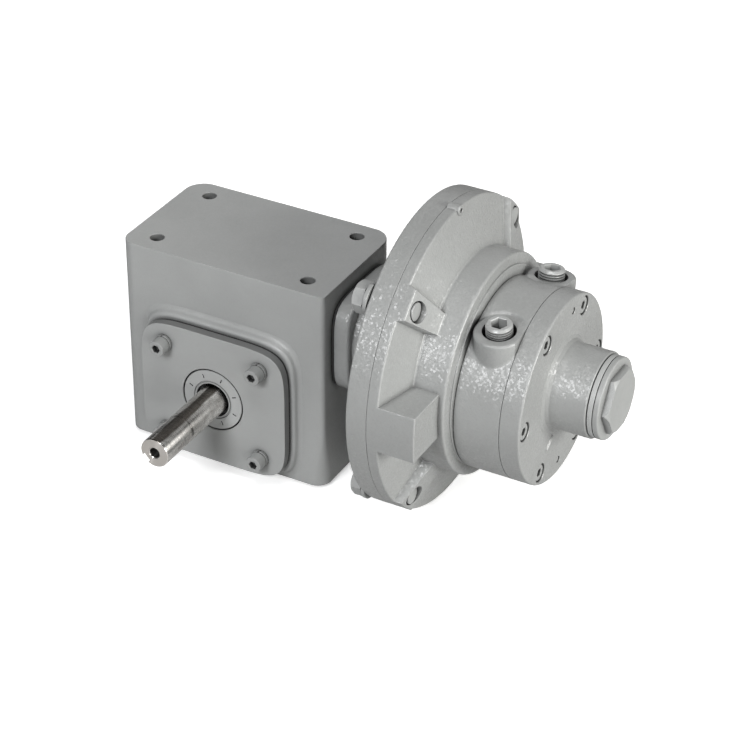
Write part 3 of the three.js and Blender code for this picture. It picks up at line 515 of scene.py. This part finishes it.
HOUSING_PAINT = enamel("housing_enamel", 0.335, 0.6, spark=0.4, painted_hole_shade=True)
MOTOR_PAINT = enamel("motor_enamel", 0.275, 1.0, 0.40, spark=0.8)
COVER_PAINT = enamel("cover_enamel", 0.335, 0.25, spark=0.2, painted_side_shade=True)
SMOOTH_PAINT = enamel("smooth_enamel", 0.30, 0.25, spark=0.2)
FASTENER_PAINT = enamel("fastener_enamel", 0.30, 0.3, 0.36, spark=0.3)
PLUG_PAINT = enamel("plug_enamel", 0.36, 0.5, 0.30, metal=0.15, spark=0.6)
SHAFT_STEEL = polished_steel("ground_steel")
# Near-black gasket sheets: real gaskets, whose darkness also stands in for painted shade in the joint gaps.
GASKET_AND_GAP_SHADE = dull("gasket_and_gap_shade", grey(0.020), grey(0.035), 700, 0.85, 0.00005)
SEAL_FACE = enamel("seal_enamel", 0.37, 0.2, 0.5, spark=0.1)
RUBBER = dull("seal_rubber", grey(0.025), grey(0.04), 800, 0.7, 0.00005)
MACHINED = plated_steel("machined_steel", 0.45, 0.30)
BRONZE = dull("gear_bronze", (0.48, 0.27, 0.09, 1), (0.36, 0.20, 0.07, 1), 300, 0.38, 0.00004, 0.9)
RESIN = dull("vane_resin", (0.16, 0.09, 0.045, 1), (0.11, 0.065, 0.035, 1), 900, 0.6, 0.00005)


# ---- Reducer housing and the output side ------------------------------------------------------


def housing_outline(inset, height):
    """The housing's section. Its corner beside the flange widens towards the base."""
    beside_flange = 2.6 + 5.4 * smooth_step((34 - height) / 34)
    corners = ((1, 1, 11.0), (-1, 1, 11.0), (-1, -1, 8.0), (1, -1, beside_flange))
    points = []
    for index, (sx, sy, radius) in enumerate(corners):
        radius = max(radius - inset, 0.2)
        middle = (sx * (HOUSING_X - inset - radius), sy * (HOUSING_Y - inset - radius))
        for step in range(13):
            angle = math.radians(90 * index + 7.5 * step)
            points.append((middle[0] + radius * math.cos(angle), middle[1] + radius * math.sin(angle)))
    return points


def edge_steps(start, end, radius):
    """(along, inset) pairs that round both ends of a block between start and end."""
    side = 1 if end > start else -1
    angles = [math.pi / 2 * i / 4 for i in range(5)]
    low = [(start + side * radius * (1 - math.sin(a)), radius * (1 - math.cos(a))) for a in reversed(angles)]
    high = [(end - side * radius * (1 - math.sin(a)), radius * (1 - math.cos(a))) for a in angles]
    return sorted(low + high, key=lambda p: side * p[0])


def gear_housing():
    levels = edge_steps(0, HOUSING_Z, 0.35)
    levels += [(4.0 * step, 0.0) for step in range(1, 10)]
    levels.sort()
    block = loft("gear_housing", "z", [(z, housing_outline(i, z)) for z, i in levels])
    flare = (  # (height above the wall, inset) of the pad's curved skirt
        (-1.0, -3.2), (0.02, -2.6), (0.35, -1.5), (0.95, -0.6), (1.6, -0.1),
        (2.4, 0.1), (3.0, 0.35), (3.5, 0.8), (3.85, 1.4), (PAD_DEPTH, 2.2),
    )
    skirt = [(-HOUSING_Y - up, squircle(44.8, 40.8, COVER_POWER, OUTPUT, i, 0.4)) for up, i in flare]
    combine(block, "UNION", loft("pad", "y", skirt))
    cutters = []
    for sx, sy in CORNERS:
        for mouth, bottom in ((HOUSING_Z, HOUSING_Z - 12), (0, 9)):
            cutters.append(drill("z", TAPPED_R, mouth, bottom, (sx * TAPPED_X, sy * TAPPED_Y), 0.12))
    cutters.append(drill("x", 19.9, HOUSING_X, HOUSING_X - 8, INPUT, point=False))
    cutters.append(drill("y", 31.9, -HOUSING_Y - PAD_DEPTH, -HOUSING_Y + 8, OUTPUT, point=False))
    hollow = [(-29.1, 13), (31, 13), (31, 97), (-29.1, 97)]
    cutters.append(loft("cutter", "x", [(x, hollow) for x in (-52.5, 51.6)]))
    combine(block, "DIFFERENCE", *cutters)
    complete(block, "casing", ["gear_housing"], HOUSING_PAINT)


def output_cover():
    rings = []
    for y, inset in edge_steps(COVER_FACE, COVER_BACK, 0.35):
        rings.append((y, squircle(COVER_HALF_X, COVER_HALF_Z, COVER_POWER, OUTPUT, inset, count=200)))
    plate = loft("output_cover", "y", rings)
    combine(plate, "DIFFERENCE", drill("y", 17.8, COVER_FACE, -40, OUTPUT, 0.3, 96, point=False))
    complete(plate, "casing", ["output_cover"], COVER_PAINT)
    edge = squircle(COVER_HALF_X, COVER_HALF_Z, COVER_POWER, OUTPUT, 0.4)
    gasket = loft("cover_gasket", "y", [(y, edge) for y in (-42.0, -41.2)])
    combine(gasket, "DIFFERENCE", bar("cutter", "y", 30, -43, -40, OUTPUT, 96))
    complete(gasket, "casing", ["cover_gasket"], GASKET_AND_GAP_SHADE)


def output_seal():
    face, back = COVER_FACE + 0.15, -40.2
    profile = [
        (face, 16.9, 0.25), (face, 11.1, 0.15), (face + 0.5, 10.9, 0.1), (face + 0.5, 10.4, 0.1),
        (face - 0.2, 10.2, 0.1), (face - 0.2, 9.5, 0.3), (face + 2.4, 9.2, 0.1), (face + 2.6, 8.25, 0.1),
        (back, 8.25, 0), (back, 17.15, 0), (face + 0.4, 17.15, 0.1),
    ]
    disc = lathe("output_seal", "y", profile, OUTPUT, 128)
    marks = []
    for index in range(8):
        angle = math.radians(22.5 + 45 * index)
        out, side = (math.cos(angle), math.sin(angle)), (-math.sin(angle), math.cos(angle))
        outline = []
        for r, s in ((12.6, -0.3), (14.9, -0.3), (14.9, 0.3), (12.6, 0.3)):
            outline.append(tuple(OUTPUT[k] + r * out[k] + s * side[k] for k in (0, 1)))
        marks.append(loft("mark", "y", [(face - 0.2, outline), (face + 0.9, outline)]))
    combine(disc, "DIFFERENCE", merge("marks", *marks))
    complete(disc, "casing", ["output_seal"], SEAL_FACE)


def socket_screw(name, axis, tip, seat, head_r, centre, shank=6.0):
    """A socket-headed screw whose head runs from seat to tip."""
    out = 1 if tip > seat else -1
    profile = [
        (tip, 0, 0), (tip, head_r, 0.55), (seat, head_r, 0.2), (seat, head_r * 0.52, 0),
        (seat - out * shank, head_r * 0.52, 0.3), (seat - out * shank, 0, 0),
    ]
    screw = lathe(name, axis, profile, centre, 40)
    depth = abs(tip - seat) * 0.55
    socket = drill(axis, head_r * 0.53, tip, tip - out * depth, centre, 0.25, 6)
    combine(screw, "DIFFERENCE", socket)
    complete(screw, "casing", [name], FASTENER_PAINT)


def lock_washer(name, axis, inner, outer, start, end, centre):
    """A split spring washer: a ring of square wire with a slanting cut."""
    profile = [(start, inner, 0.1), (start, outer, 0.25), (end, outer, 0.25), (end, inner, 0.1)]
    ring = lathe(name, axis, profile, centre, 64, 3)
    half, slant = 0.35, 0.9
    slot = []
    for along, shift in ((start - 0.5, -slant), (end + 0.5, slant)):
        corners = ((shift - half, 0), (shift + half, 0), (shift + half, outer + 1), (shift - half, outer + 1))
        slot.append((along, [(centre[0] + u, centre[1] + v) for u, v in corners]))
    combine(ring, "DIFFERENCE", loft("slot", axis, slot))
    complete(ring, "casing", [name], FASTENER_PAINT)


def cover_screws():
    for index, (sx, sz) in enumerate(CORNERS, 1):
        centre = (sx * 28.0, OUTPUT_Z + sz * 26.3)
        socket_screw(f"cover_screw_{index}", "y", -55.1, -49.1, 4.4, centre)
        lock_washer(f"cover_washer_{index}", "y", 2.6, 4.7, -48.8, -47.0, centre)


def output_shaft():
    profile = [
        (SHAFT_TIP, 0, 0), (SHAFT_TIP, SHAFT_R, 0.7), (SCRIBE_Y - 0.2, SHAFT_R, 0), (SCRIBE_Y, 7.82, 0),
        (SCRIBE_Y + 0.2, SHAFT_R, 0), (-20, SHAFT_R, 0), (-20, 9.85, 0.3), (16, 9.85, 0.3), (16, SHAFT_R, 0),
        (29.6, SHAFT_R, 0.5), (29.6, 0, 0),
    ]
    shaft = lathe("output_shaft", "y", profile, OUTPUT, 128)
    hole = [
        (SHAFT_TIP - 1.5, 0, 0), (SHAFT_TIP - 1.5, 3.2, 0), (SHAFT_TIP, 3.2, 0), (SHAFT_TIP + 0.4, 2.75, 0),
        (-91, 2.75, 0), (-90, 0, 0),
    ]
    centre_hole = lathe("cutter", "y", hole, OUTPUT, 48)
    angle = math.radians(221)
    out, side = (math.cos(angle), math.sin(angle)), (-math.sin(angle), math.cos(angle))
    outline = []
    for r, s in ((5.54, -2.38), (12, -2.38), (12, 2.38), (5.54, 2.38)):
        outline.append(tuple(OUTPUT[k] + r * out[k] + s * side[k] for k in (0, 1)))
    keyway = loft("cutter", "y", [(-104, outline), (-64, outline)])
    combine(shaft, "DIFFERENCE", centre_hole, keyway)
    complete(shaft, "output", ["output_shaft"], SHAFT_STEEL)


# ---- Input flange, its bolts and the motor bracket ----------------------------------------------


def input_flange():
    profile = [
        (66.5, 25.9, 0), (96.3, 25.9, 4.0), (96.3, BRACKET_R, 0.9), (107.4, BRACKET_R, 0.25),
        (107.4, 22, 0), (66.5, 22, 0),
    ]
    disc = lathe("input_flange", "x", profile, INPUT, 160)
    pad_steps = [(60.75, 0.3), (61.1, 0.0), (67.2, 0.0), (68.2, 0.3), (68.8, 0.9), (69.0, 1.8)]
    pad = loft("pad", "x", [(x, squircle(29.2, 26.0, 4.5, INPUT, i)) for x, i in pad_steps])
    combine(disc, "UNION", pad)
    cutters = [drill("x", 17.3, 60.8, 92, INPUT, 0.2, 64, point=False)]
    for degrees in BOLT_ANGLES:
        cutters.append(bar("cutter", "x", 5.2, 90, 110, around(BOLT_CIRCLE, degrees)))
    combine(disc, "DIFFERENCE", *cutters)
    complete(disc, "casing", ["input_flange"], MOTOR_PAINT)
    sheet = [(x, squircle(28.8, 25.6, 4.5, INPUT)) for x in (59.6, 60.5)]
    gasket = loft("flange_gasket", "x", sheet)
    combine(gasket, "DIFFERENCE", bar("cutter", "x", 20, 58, 62, INPUT, 96))
    complete(gasket, "casing", ["flange_gasket"], GASKET_AND_GAP_SHADE)


def motor_bolts():
    for index, degrees in enumerate(BOLT_ANGLES, 1):
        centre = around(BOLT_CIRCLE, degrees)
        head = loft("head", "x", [(x, circle(8.2, centre, 6)) for x in (BOLT_HEAD, BOLT_SEAT)])
        crown = [
            (BOLT_HEAD, 0, 0), (BOLT_HEAD, 6.9, 0.3), (BOLT_HEAD + 0.9, 8.3, 0), (BOLT_SEAT + 0.6, 8.3, 0),
            (BOLT_SEAT + 0.6, 0, 0),
        ]
        combine(head, "INTERSECT", lathe("crown", "x", crown, centre, 64))
        pitch, start = 1.5875, 100.0
        thread = [(BOLT_SEAT - 0.2, 0, 0), (BOLT_SEAT - 0.2, 4.7, 0), (start, 4.7, 0)]
        for turn in range(int((BOLT_END - start - 0.9) / pitch)):
            thread += [(start + (turn + 0.5) * pitch, 4.1, 0), (start + (turn + 1) * pitch, 4.7, 0)]
        thread += [(BOLT_END - 0.3, 4.7, 0), (BOLT_END, 4.5, 0.1), (BOLT_END, 0, 0)]
        combine(head, "UNION", lathe("thread", "x", thread, centre, 40))
        head.name = f"motor_bolt_{index}"
        complete(head, "casing", [f"motor_bolt_{index}"], FASTENER_PAINT)
        lock_washer(f"lock_washer_{index}", "x", 5.1, 8.5, 93.9, 95.9, centre)


def bracket_levels(degrees):
    """(rim x, bell x) of the bracket's face at an angle: recess, bolt pad or plain face."""
    folded = degrees % 180
    folded = min(folded, 180 - folded)
    recess, pad, face = (113.1, 119.0), (117.0, 125.2), (113.1, 121.6)
    wall = 1.1
    to_pad = smooth_step((folded - 39.2) / wall)
    to_face = smooth_step((folded - 51.2) / wall)
    low = [r + (p - r) * to_pad for r, p in zip(recess, pad)]
    return [v + (f - v) * to_face for v, f in zip(low, face)]


def side_block(side):
    """A rim block whose outer face follows the rim's own facets, 2 degrees apart."""
    rings = []
    for x, inset in [(109, 0.0), *edge_steps(112, BLOCK_END, 0.7)[5:]]:
        radius = BRACKET_R - inset
        arc = [around(radius, a, (0, 0)) for a in range(-10, 11, 2)]
        ends = []
        top, base = BLOCK_HIGH - inset, BLOCK_LOW + inset
        for height, inner, outer in ((base, arc[1], arc[0]), (top, arc[-2], arc[-1])):
            share = (height - inner[1]) / (outer[1] - inner[1])
            ends.append((side * -(inner[0] + share * (outer[0] - inner[0])), INPUT_Z + height, 0.6))
        middle = [(side * -y, INPUT_Z + z, 0.0) for y, z in arc[1:-1]]
        back = [(side * 53, INPUT_Z + top, 0), (side * 53, INPUT_Z + base, 0)]
        rings.append((x, fillet([ends[0], *middle, ends[1], *back], True, 3)))
    return loft("block", "x", rings)


def motor_bracket():
    angles = set(range(0, 360, 2))
    for step in (39.2, 51.2):
        for base in (step, 180 - step - 1.1, 180 + step, 360 - step - 1.1):
            angles |= {round(base + 1.1 * i / 8, 4) for i in range(9)} | {base - 0.4, base + 1.5}
    angles = sorted(a % 360 for a in angles)
    columns = []
    for degrees in angles:
        rim_x, bell_x = bracket_levels(degrees)
        profile = [
            (107.5, 12, 0), (107.5, BRACKET_R, 0.25), (rim_x, BRACKET_R, 1.1), (bell_x, BELL_R, 1.3),
            (136.2, BELL_R, 1.5), (136.2, 51.5, 0.5), (137.3, 51.4, 0.35), (137.3, 12, 0),
        ]
        columns.append([(x, *around(r, degrees)) for x, r in fillet(profile, True, 5)])
    rows = len(columns[0])
    vertices = [point for column in columns for point in column]
    faces = []
    for i in range(len(columns)):
        j = (i + 1) % len(columns)
        for k in range(rows):
            m = (k + 1) % rows
            faces.append((i * rows + k, i * rows + m, j * rows + m, j * rows + k))
    body = make("motor_bracket", vertices, faces)
    top_boss = (0, INPUT_Z + 80.5)
    boss = [(108, 0, 0), (108, 2.8, 0), (114.6, 2.8, 0.7), (114.6, 0, 0)]
    combine(body, "UNION", side_block(-1), side_block(1), lathe("boss", "x", boss, top_boss, 32))
    cutters = [drill("x", 1.1, 114.6, 112, top_boss, 0.2, 24)]
    for degrees in BOLT_ANGLES:
        cutters.append(bar("cutter", "x", BOLT_HOLE_R, 105, 130, around(BOLT_CIRCLE, degrees)))
    combine(body, "DIFFERENCE", *cutters)
    complete(body, "casing", ["motor_bracket"], MOTOR_PAINT)


# ---- Motor body, ports, end plate and cap -------------------------------------------------------


def motor_body():
    """Ring and port bosses melted into one casting, then cut to length and drilled."""
    start, end = BODY_START, BODY_END
    ring = [(start - 2, 36, 0), (start - 2, BODY_R, 0), (end + 2, BODY_R, 0), (end + 2, 36, 0)]
    body = lathe("motor_body", "x", ring, BODY_CENTRE, 160)
    bosses, faces, holes = [], [], []
    for side in (-1, 1):
        centre = (PORT_X, side * PORT_Y)
        boss = [(92, 0, 0), (92, 12.6, 0), (PORT_TOP, 12.6, 1.2), (PORT_TOP, 0, 0)]
        bosses.append(lean(lathe("boss", "z", boss, centre, 64), side))
        faces.append(lean(bar("cutter", "z", 13.0, PORT_TOP - 0.2, 140, centre, 64), side))
        mouth = [
            (140, 0, 0), (140, 8.4, 0), (PORT_TOP - 0.2, 8.4, 0.2), (PORT_TOP - 3.2, 7.5, 0),
            (105, 7.5, 0), (105, 0, 0),
        ]
        holes.append(lean(lathe("cutter", "z", mouth, centre, 64), side))
    combine(body, "DIFFERENCE", *faces)
    combine(body, "UNION", *bosses)
    melt(body, 0.55, 8)
    section = [(-70, 0), (70, 0), (70, 130), (-70, 130)]
    slab = loft("slab", "x", [(x, section) for x in (start, end)])
    combine(body, "INTERSECT", slab)
    combine(body, "DIFFERENCE", bar("cutter", "x", 36.5, 130, 170, BODY_CENTRE, 96), *holes)
    complete(body, "casing", ["motor_body"], MOTOR_PAINT, 45)


def port_plugs():
    """Taper plugs with a few turns of thread in sight and a hexagon socket."""
    pitch, top, bottom = 1.411, 123.8, 110.5
    for index, side in enumerate((-1, 1), 1):
        centre = (PORT_X, side * PORT_Y)
        profile = [(top, 0, 0), (top, 5.7, 0.3), (top - 0.9, 6.6, 0.1)]
        for turn in range(int((top - 1.2 - bottom) / pitch)):
            at = top - 1.2 - turn * pitch
            profile += [(at - 0.12, 6.65, 0), (at - 0.5, 5.6, 0), (at - 0.85, 5.6, 0), (at - 1.25, 6.65, 0)]
        profile += [(bottom, 6.2, 0.3), (bottom, 0, 0)]
        plug = lathe(f"port_plug_{index}", "z", profile, centre, 64, 3)
        combine(plug, "DIFFERENCE", drill("z", 4.3, top, top - 7, centre, 0.3, 6))
        complete(lean(plug, side), "casing", [f"port_plug_{index}"], PLUG_PAINT)


def casting_mark():
    """A short raised line that runs slantwise on the lower part of the end plate's face."""
    along, across = Vector((0.73, 0.68)), Vector((-0.68, 0.73))
    rings = []
    for x, inset in ((PLATE_FACE - 0.9, 0.0), (PLATE_FACE + 0.05, 0.0), (PLATE_FACE + 0.9, 0.8)):
        outline = []
        for index in range(24):
            turn = 2 * math.pi * index / 24
            reach = along * ((4.6 - inset) * math.cos(turn)) + across * ((1.2 - inset) * math.sin(turn))
            outline.append((MARK_Y + reach.x, MARK_Z + reach.y))
        rings.append((x, outline))
    return loft("mark", "x", rings)


def end_plate():
    back = BODY_END + 0.15
    disc_profile = [(back, 9, 0), (back, BODY_R, 0.25), (PLATE_FACE, BODY_R, 1.2), (PLATE_FACE, 9, 0)]
    plate = lathe("end_plate", "x", disc_profile, BODY_CENTRE, 160)
    hub_profile = [
        (165, 0, 0), (165, 26.6, 0), (172.38, 26.6, 0), (172.7, 25.2, 0.4), (173.6, 23.5, 0.8),
        (175.2, 22.4, 1.5), (178.5, 22, 3), (HUB_END, 22, 0.8), (HUB_END, 0, 0),
    ]
    combine(plate, "UNION", lathe("hub", "x", hub_profile, INPUT, 128), casting_mark())
    cutters = [bar("cutter", "x", 16, 178, 200, INPUT, 64), bar("cutter", "x", 12, 160, 179, INPUT, 64)]
    for degrees in END_SCREW_ANGLES:
        centre = around(END_SCREW_CIRCLE, degrees, BODY_CENTRE)
        cutters.append(drill("x", 5.0, PLATE_FACE, 166.8, centre, 0.3, 40, point=False))
    for degrees in DOWEL_ANGLES:
        centre = around(DOWEL_CIRCLE, degrees, BODY_CENTRE)
        cutters.append(drill("x", 1.8, PLATE_FACE, 166, centre, 0.15, 24))
    combine(plate, "DIFFERENCE", *cutters)
    complete(plate, "casing", ["end_plate"], MOTOR_PAINT)
    for index, degrees in enumerate(END_SCREW_ANGLES, 1):
        centre = around(END_SCREW_CIRCLE, degrees, BODY_CENTRE)
        socket_screw(f"end_plate_screw_{index}", "x", 171.7, 167.1, 4.4, centre, 4.0)
    for index, degrees in enumerate(DOWEL_ANGLES, 1):
        outline = [(166, 0, 0), (166, 1.5, 0), (171.9, 1.5, 0.4), (171.9, 0, 0)]
        name = f"dowel_pin_{index}"
        pin = lathe(name, "x", outline, around(DOWEL_CIRCLE, degrees, BODY_CENTRE), 24)
        complete(pin, "casing", [name], FASTENER_PAINT)


def end_cap():
    outline = [(194.5, 16.2, 0), (194.5, CAP_R, 0.2), (197.0, CAP_R, 0.2), (197.0, 16.2, 0)]
    gasket = lathe("cap_gasket", "x", outline, INPUT, 96)
    complete(gasket, "casing", ["cap_gasket"], SEAL_FACE)
    flange = [
        (190, 0, 0), (190, 15.6, 0), (197.3, 15.6, 0), (197.3, CAP_R, 0.4), (CAP_FLANGE, CAP_R, 0.8),
        (CAP_FLANGE, 0, 0),
    ]
    cap = lathe("end_cap", "x", flange, INPUT, 128)
    hexagon = loft("hexagon", "x", [(x, circle(17.3, INPUT, 6)) for x in (199, CAP_END)])
    crown = [(198, 0, 0), (198, 17.4, 0), (201.9, 17.4, 0.5), (CAP_END, 15.6, 0.9), (CAP_END, 0, 0)]
    combine(hexagon, "INTERSECT", lathe("crown", "x", crown, INPUT, 96))
    combine(cap, "UNION", hexagon)
    complete(cap, "casing", ["end_cap"], SMOOTH_PAINT)


def oil_plugs():
    for name, z in (("fill_plug", 88), ("drain_plug", 22)):
        centre = (-38, z)
        head = loft(name, "y", [(y, circle(7.9, centre, 6)) for y in (37.3, 42.1)])
        crown = [(36, 0, 0), (36, 8, 0), (41.2, 8, 0), (42.1, 6.6, 0.3), (42.1, 0, 0)]
        combine(head, "INTERSECT", lathe("crown", "y", crown, centre, 64))
        thread = [(30, 0, 0), (30, 5.2, 0.3), (38, 5.2, 0), (38, 0, 0)]
        combine(head, "UNION", lathe("thread", "y", thread, centre, 40))
        complete(head, "casing", [name], FASTENER_PAINT)


gear_housing()
output_cover()
output_seal()
cover_screws()
output_shaft()
input_flange()
motor_bolts()
motor_bracket()
motor_body()
port_plugs()
end_plate()
end_cap()
oil_plugs()

# ---- CAD nodes that stay, with better materials ---------------------------------------------------

INNER = {
    "worm_wheel": BRONZE,
    "input_seal": RUBBER,
    "motor_seal": RUBBER,
    **{f"vane_{i}": RESIN for i in range(1, 5)},
}
replaced = {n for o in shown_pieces() for n in o.get("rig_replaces", [])}
for node_name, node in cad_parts.items():
    if node_name not in replaced:
        node.data.materials.clear()
        node.data.materials.append(INNER.get(node_name, MACHINED))

# ---- Floor, light and camera --------------------------------------------------------------------

low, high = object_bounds()


def floor_sheet(name, below, material):
    drop, reach = Vector((0, 0, low.z - below)), 15.0
    sides = ((-1, -1), (1, -1), (1, 1), (-1, 1))
    corners = [(drop + Vector((x * reach, y * reach, 0))) / MM for x, y in sides]
    sheet = make(name, corners, [(0, 1, 2, 3)])
    sheet.data.materials.append(material)
    return sheet


def paper(name, tone, glow):
    n = Nodes(name)
    n.shader.inputs["Emission Color"].default_value = (1, 1, 1, 1)
    n.shader.inputs["Emission Strength"].default_value = glow
    return n.finish(n.mix(n.noise(3, 2), grey(tone), grey(tone * 1.03)), 0.9)


# The white sheet is what the camera sees. The grey one under it gives the light a floor returns.
sheet = floor_sheet("floor", 0.0001, paper("white_paper", 0.90, 0.5))
sheet.visible_diffuse = sheet.visible_glossy = sheet.visible_shadow = False
card = floor_sheet("floor_card", 0.0006, paper("grey_card", 0.42, 0.0))
card.visible_camera = False

target = Vector((0.06866, 0.0, 0.05194))  # the point that the camera and the lights look at


def soft_light(name, azimuth, elevation, distance, size, power, color):
    """A square soft light aimed at the object, placed as a camera would be."""
    a, e = math.radians(azimuth), math.radians(elevation)
    back = Vector((math.sin(a) * math.cos(e), -math.cos(a) * math.cos(e), math.sin(e)))
    lamp = bpy.data.lights.new(name, "AREA")
    lamp.shape = "SQUARE"
    lamp.size = size
    lamp.energy = power
    lamp.color = color
    obj = bpy.data.objects.new(name, lamp)
    obj.location = target + back * distance
    obj.rotation_mode = "QUATERNION"
    obj.rotation_quaternion = (-back).to_track_quat("-Z", "Y")
    bpy.context.scene.collection.objects.link(obj)


soft_light("key", -4, 31, 2.0, 0.60, 25, (0.99, 1.0, 1.01))
soft_light("side", 84, 18, 2.2, 0.9, 56, (1.0, 1.0, 0.97))
soft_light("low", 40, 7, 2.0, 0.6, 7, (1.0, 1.0, 0.98))
soft_light("top", 20, 76, 2.6, 1.2, 22, (1.0, 1.0, 0.985))
soft_light("back", 205, 30, 2.6, 2.0, 9, (1.0, 1.0, 1.0))

world = bpy.data.worlds.new("studio")
bpy.context.scene.world = world
world.use_nodes = True
world.node_tree.nodes["Background"].inputs["Color"].default_value = (0.95, 0.97, 1.0, 1)
world.node_tree.nodes["Background"].inputs["Strength"].default_value = 0.03

AZIMUTH, ELEVATION, ROLL, DISTANCE, LENS = 28.05, 32.86, 0.63, 1.21642, 114.29
azimuth, elevation, roll = (math.radians(v) for v in (AZIMUTH, ELEVATION, ROLL))
back = Vector((
    math.sin(azimuth) * math.cos(elevation),
    -math.cos(azimuth) * math.cos(elevation),
    math.sin(elevation),
))
camera_data = bpy.data.cameras.new("camera")
camera_data.sensor_width = 36
camera_data.lens = LENS
camera = bpy.data.objects.new("camera", camera_data)
camera.location = target + back * DISTANCE
camera.rotation_mode = "QUATERNION"
level = (-back).to_track_quat("-Z", "Y")
camera.rotation_quaternion = level @ Quaternion((0, 0, 1), roll)
bpy.context.scene.collection.objects.link(camera)
bpy.context.scene.camera = camera
bpy.context.scene.view_settings.view_transform = "Standard"
